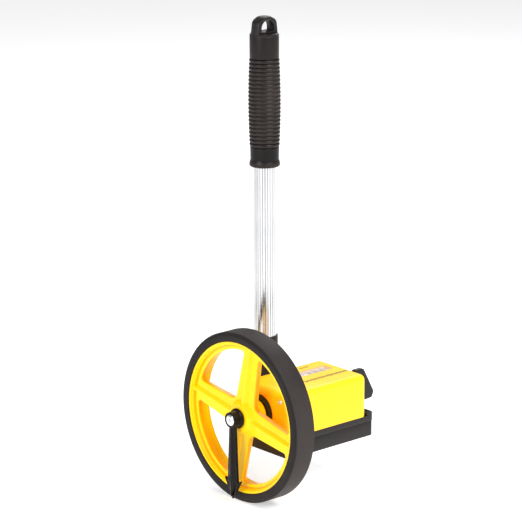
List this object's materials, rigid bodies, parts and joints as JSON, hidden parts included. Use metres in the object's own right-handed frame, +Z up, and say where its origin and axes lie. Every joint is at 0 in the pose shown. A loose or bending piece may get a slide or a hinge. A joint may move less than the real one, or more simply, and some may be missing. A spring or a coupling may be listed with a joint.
{
  "type": "measuring wheel",
  "caption": "Hand-held measuring wheel: spoked rubber-tyred wheel, geared digit counter in a box housing, and a telescopic fluted tube handle with a ribbed grip and hang loop.",
  "frame": {"origin": "centre of the wheel on its axle", "axes": "+Z up along the handle; -Y out of the wheel's free side along the axle; +X towards the person who reads the counter"},
  "size_m": [0.1592, 0.1614, 0.4363],
  "materials": {
    "tyre_rubber": "matt, smooth tread",
    "yellow_plastic": "glossy moulded plastic",
    "cover_plastic": "satin moulded plastic",
    "black_plastic": "satin moulded plastic",
    "pointer_plastic": "glossy moulded plastic",
    "grip_rubber": "matt rubber",
    "bright_aluminium": "bright drawn tube",
    "steel": "bright steel",
    "plated_screw": "bright plated",
    "window_clear": "clear moulded window",
    "white_plastic": "white moulded plastic",
    "red_plastic": "red moulded plastic",
    "acetal": "natural acetal",
    "bronze_bush": "sintered bronze"
  },
  "bodies": {
    "housing": {"housing_cover": "cover_plastic", "counter_window": "window_clear", "window_mask": "white_plastic", "cover_screws": "plated_screw", "bearing_flange": "black_plastic", "axle_bush": "bronze_bush", "chassis": "black_plastic", "base_pan": "black_plastic", "base_screws": "steel", "counter_frame": "steel", "frame_screws": "plated_screw", "transfer_shaft": "steel", "reset_bush": "bronze_bush", "reset_spring": "steel", "tube_socket": "black_plastic", "socket_screw": "plated_screw", "outer_tube": "bright_aluminium", "tube_plug": "black_plastic", "guide_ring_1": "black_plastic"},
    "wheel": {"tyre": "tyre_rubber", "wheel_rim": "yellow_plastic", "axle": "steel", "hub_screw": "plated_screw", "axle_spacer": "steel", "drive_gear": "acetal", "axle_clip": "steel"},
    "pointer": {"pointer": "pointer_plastic"},
    "counter_drive": {"counter_shaft": "steel", "counter_gear": "acetal", "number_drum_1": "red_plastic"},
    "reset": {"reset_comb": "steel", "reset_lever": "black_plastic", "lever_screw": "plated_screw"},
    "section_2": {"slide_tube_2": "bright_aluminium", "slide_bush_2": "black_plastic", "guide_ring_2": "black_plastic"},
    "section_3": {"slide_tube_3": "bright_aluminium", "slide_bush_3": "black_plastic", "guide_ring_3": "black_plastic"},
    "section_4": {"slide_tube_4": "bright_aluminium", "slide_bush_4": "black_plastic", "grip_core": "black_plastic", "grip_sleeve": "grip_rubber", "hang_cap": "black_plastic"},
    "drum_2": {"number_drum_2": "white_plastic"},
    "drum_3": {"number_drum_3": "white_plastic"},
    "drum_4": {"number_drum_4": "white_plastic"},
    "drum_5": {"number_drum_5": "white_plastic"},
    "pinion_1": {"carry_pinion_1": "acetal"},
    "pinion_2": {"carry_pinion_2": "acetal"},
    "pinion_3": {"carry_pinion_3": "acetal"},
    "pinion_4": {"carry_pinion_4": "acetal"}
  },
  "joints": [
    {"name": "wheel_spin", "type": "hinge", "parent": "housing", "child": "wheel", "pos_m": [0, 0, 0], "axis": [0, 1, 0], "continuous": true},
    {"name": "pointer_swing", "type": "hinge", "parent": "housing", "child": "pointer", "pos_m": [0, 0, 0], "axis": [0, 1, 0], "continuous": true},
    {"name": "counter_spin", "type": "hinge", "parent": "housing", "child": "counter_drive", "pos_m": [-0.003, 0, 0.01239], "axis": [0, 1, 0], "continuous": true},
    {"name": "drum_2_spin", "type": "hinge", "parent": "housing", "child": "drum_2", "pos_m": [-0.003, 0, 0.01239], "axis": [0, 1, 0], "continuous": true},
    {"name": "drum_3_spin", "type": "hinge", "parent": "housing", "child": "drum_3", "pos_m": [-0.003, 0, 0.01239], "axis": [0, 1, 0], "continuous": true},
    {"name": "drum_4_spin", "type": "hinge", "parent": "housing", "child": "drum_4", "pos_m": [-0.003, 0, 0.01239], "axis": [0, 1, 0], "continuous": true},
    {"name": "drum_5_spin", "type": "hinge", "parent": "housing", "child": "drum_5", "pos_m": [-0.003, 0, 0.01239], "axis": [0, 1, 0], "continuous": true},
    {"name": "pinion_1_spin", "type": "hinge", "parent": "housing", "child": "pinion_1", "pos_m": [-0.00448, 0, 0.00402], "axis": [0, 1, 0], "continuous": true},
    {"name": "pinion_2_spin", "type": "hinge", "parent": "housing", "child": "pinion_2", "pos_m": [-0.00448, 0, 0.00402], "axis": [0, 1, 0], "continuous": true},
    {"name": "pinion_3_spin", "type": "hinge", "parent": "housing", "child": "pinion_3", "pos_m": [-0.00448, 0, 0.00402], "axis": [0, 1, 0], "continuous": true},
    {"name": "pinion_4_spin", "type": "hinge", "parent": "housing", "child": "pinion_4", "pos_m": [-0.00448, 0, 0.00402], "axis": [0, 1, 0], "continuous": true},
    {"name": "reset_press", "type": "hinge", "parent": "housing", "child": "reset", "pos_m": [0.013, 0, 0.003], "axis": [0, 1, 0], "range_deg": [0, 25], "stiffness_Nm_per_rad": 0.05, "springref_deg": -11.46},
    {"name": "slide_2", "type": "slide", "parent": "housing", "child": "section_2", "axis": [0, 0, 1], "range_m": [0, 0.185]},
    {"name": "slide_3", "type": "slide", "parent": "section_2", "child": "section_3", "axis": [0, 0, 1], "range_m": [0, 0.185]},
    {"name": "slide_4", "type": "slide", "parent": "section_3", "child": "section_4", "axis": [0, 0, 1], "range_m": [0, 0.185]}
  ],
  "couplings": [
    {"joint": "counter_spin", "follows": "wheel_spin", "ratio": -0.5},
    {"joint": "drum_2_spin", "follows": "wheel_spin", "ratio": -0.05},
    {"joint": "drum_3_spin", "follows": "wheel_spin", "ratio": -0.005},
    {"joint": "drum_4_spin", "follows": "wheel_spin", "ratio": -0.0005},
    {"joint": "drum_5_spin", "follows": "wheel_spin", "ratio": -0.00005},
    {"joint": "pinion_1_spin", "follows": "wheel_spin", "ratio": 0.125},
    {"joint": "pinion_2_spin", "follows": "wheel_spin", "ratio": 0.0125},
    {"joint": "pinion_3_spin", "follows": "wheel_spin", "ratio": 0.00125},
    {"joint": "pinion_4_spin", "follows": "wheel_spin", "ratio": 0.000125}
  ]
}
